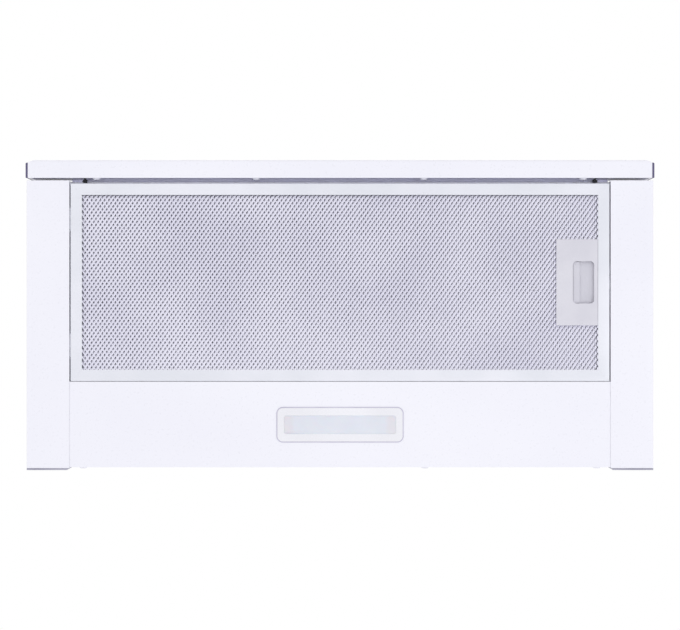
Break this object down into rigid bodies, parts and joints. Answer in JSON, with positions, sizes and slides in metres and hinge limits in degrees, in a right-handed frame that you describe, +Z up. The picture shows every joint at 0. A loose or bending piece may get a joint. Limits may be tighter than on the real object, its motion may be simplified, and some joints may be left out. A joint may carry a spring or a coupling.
{
  "type": "under cabinet range hood",
  "caption": "Telescopic under cabinet range hood with a pull-out visor, a wide mesh filter with a latch, a lamp panel, a centrifugal blower and a round top outlet.",
  "frame": {"origin": "middle of the four cabinet screw holes, on the top face of the housing", "axes": "+X to the right seen from the front, +Y to the wall behind, +Z up"},
  "size_m": [0.598, 0.295, 0.243],
  "materials": {
    "white_enamel_steel": "satin white stove enamel on steel sheet",
    "grey_plastic": "moulded",
    "end_cap_plastic": "moulded",
    "filter_aluminium": "mill finish",
    "zinc_plated_steel": "bright zinc plated",
    "spring_steel": "polished",
    "screw_enamel": "white coated",
    "black_rubber": "matt",
    "bezel_plastic": "moulded",
    "lamp_lens": "frosted, translucent",
    "latch_plastic": "moulded",
    "white_plastic": "moulded",
    "black_plastic": "moulded",
    "button_plastic": "moulded",
    "circuit_board": "solder resist",
    "motor_steel": "grey enamel"
  },
  "bodies": {
    "housing": {"side_wall_left": "white_enamel_steel", "side_wall_right": "white_enamel_steel", "rear_wall": "white_enamel_steel", "front_panel": "white_enamel_steel", "top_plate": "white_enamel_steel", "side_filler_left": "white_enamel_steel", "side_filler_right": "white_enamel_steel", "filler_rear_trims": "grey_plastic", "filter_seat": "white_enamel_steel", "filter_catch": "spring_steel", "lamp_panel": "white_enamel_steel", "lamp_bezel": "bezel_plastic", "lamp_diffuser": "lamp_lens", "lamp_board": "circuit_board", "lamp_driver": "white_plastic", "slide_outer_left": "zinc_plated_steel", "slide_outer_right": "zinc_plated_steel", "scroll_left": "black_plastic", "scroll_right": "black_plastic", "motor_casing": "motor_steel", "motor_bracket": "zinc_plated_steel", "motor_grommets": "black_rubber", "outlet_adapter": "black_plastic", "terminal_box": "white_plastic", "terminal_cover": "white_plastic", "cable_gland": "black_plastic", "capacitor": "white_plastic", "capacitor_clip": "zinc_plated_steel", "microswitch": "black_plastic", "housing_screws": "screw_enamel"},
    "visor": {"front_rail": "white_enamel_steel", "rail_end_cap_left": "end_cap_plastic", "rail_end_cap_right": "end_cap_plastic", "rail_back_plate": "white_enamel_steel", "rail_screws": "screw_enamel", "rail_bumpers": "black_rubber", "control_board": "circuit_board", "visor_frame": "white_enamel_steel", "visor_cover": "white_enamel_steel", "visor_filter": "filter_aluminium", "slide_inner_left": "zinc_plated_steel", "slide_inner_right": "zinc_plated_steel"},
    "filter": {"filter_frame": "filter_aluminium", "filter_mesh": "filter_aluminium", "latch_plate": "latch_plastic", "latch_springs": "spring_steel"},
    "latch": {"latch_slider": "latch_plastic"},
    "wheel": {"blower_wheel": "black_plastic", "motor_shaft": "spring_steel", "wheel_nut": "zinc_plated_steel"},
    "flap_front": {"damper_flap_front": "black_plastic"},
    "flap_rear": {"damper_flap_rear": "black_plastic"},
    "ball_cage": {"ball_cages": "zinc_plated_steel", "slide_balls": "spring_steel"},
    "plunger": {"switch_plunger": "button_plastic"},
    "button_lamp": {"button_lamp": "button_plastic"},
    "button_off": {"button_off": "button_plastic"},
    "button_speed_1": {"button_speed_1": "button_plastic"},
    "button_speed_2": {"button_speed_2": "button_plastic"},
    "button_speed_3": {"button_speed_3": "button_plastic"}
  },
  "joints": [
    {"name": "visor_slide", "type": "slide", "parent": "housing", "child": "visor", "axis": [0, -1, 0], "range_m": [0, 0.15]},
    {"name": "filter_drop", "type": "hinge", "parent": "housing", "child": "filter", "pos_m": [-0.2565, -0.03105, -0.174], "axis": [0, 1, 0], "range_deg": [0, 60], "deforming": ["filter_catch"]},
    {"name": "latch_slide", "type": "slide", "parent": "filter", "child": "latch", "axis": [-1, 0, 0], "range_m": [0, 0.006], "stiffness_N_per_m": 300, "springref_m": -0.002, "deforming": ["latch_springs"]},
    {"name": "blower_spin", "type": "hinge", "parent": "housing", "child": "wheel", "pos_m": [0, 0.005, -0.065], "axis": [1, 0, 0], "continuous": true},
    {"name": "damper_front_lift", "type": "hinge", "parent": "housing", "child": "flap_front", "pos_m": [0, 0.0449, 0.04], "axis": [-1, 0, 0], "range_deg": [0, 80]},
    {"name": "damper_rear_lift", "type": "hinge", "parent": "housing", "child": "flap_rear", "pos_m": [0, 0.0501, 0.04], "axis": [1, 0, 0], "range_deg": [0, 80]},
    {"name": "ball_cage_slide", "type": "slide", "parent": "housing", "child": "ball_cage", "axis": [0, -1, 0], "range_m": [0, 0.075]},
    {"name": "switch_plunger_slide", "type": "slide", "parent": "housing", "child": "plunger", "axis": [0, -1, 0], "range_m": [0, 0.002]},
    {"name": "button_lamp_press", "type": "slide", "parent": "visor", "child": "button_lamp", "axis": [0, 1, 0], "range_m": [0, 0.002], "stiffness_N_per_m": 400},
    {"name": "button_off_press", "type": "slide", "parent": "visor", "child": "button_off", "axis": [0, 1, 0], "range_m": [0, 0.002], "stiffness_N_per_m": 400},
    {"name": "button_speed_1_press", "type": "slide", "parent": "visor", "child": "button_speed_1", "axis": [0, 1, 0], "range_m": [0, 0.002], "stiffness_N_per_m": 400},
    {"name": "button_speed_2_press", "type": "slide", "parent": "visor", "child": "button_speed_2", "axis": [0, 1, 0], "range_m": [0, 0.002], "stiffness_N_per_m": 400},
    {"name": "button_speed_3_press", "type": "slide", "parent": "visor", "child": "button_speed_3", "axis": [0, 1, 0], "range_m": [0, 0.002], "stiffness_N_per_m": 400}
  ],
  "couplings": [
    {"joint": "ball_cage_slide", "follows": "visor_slide", "ratio": 0.5},
    {"joint": "switch_plunger_slide", "follows": "visor_slide", "ratio": 0.0133}
  ]
}
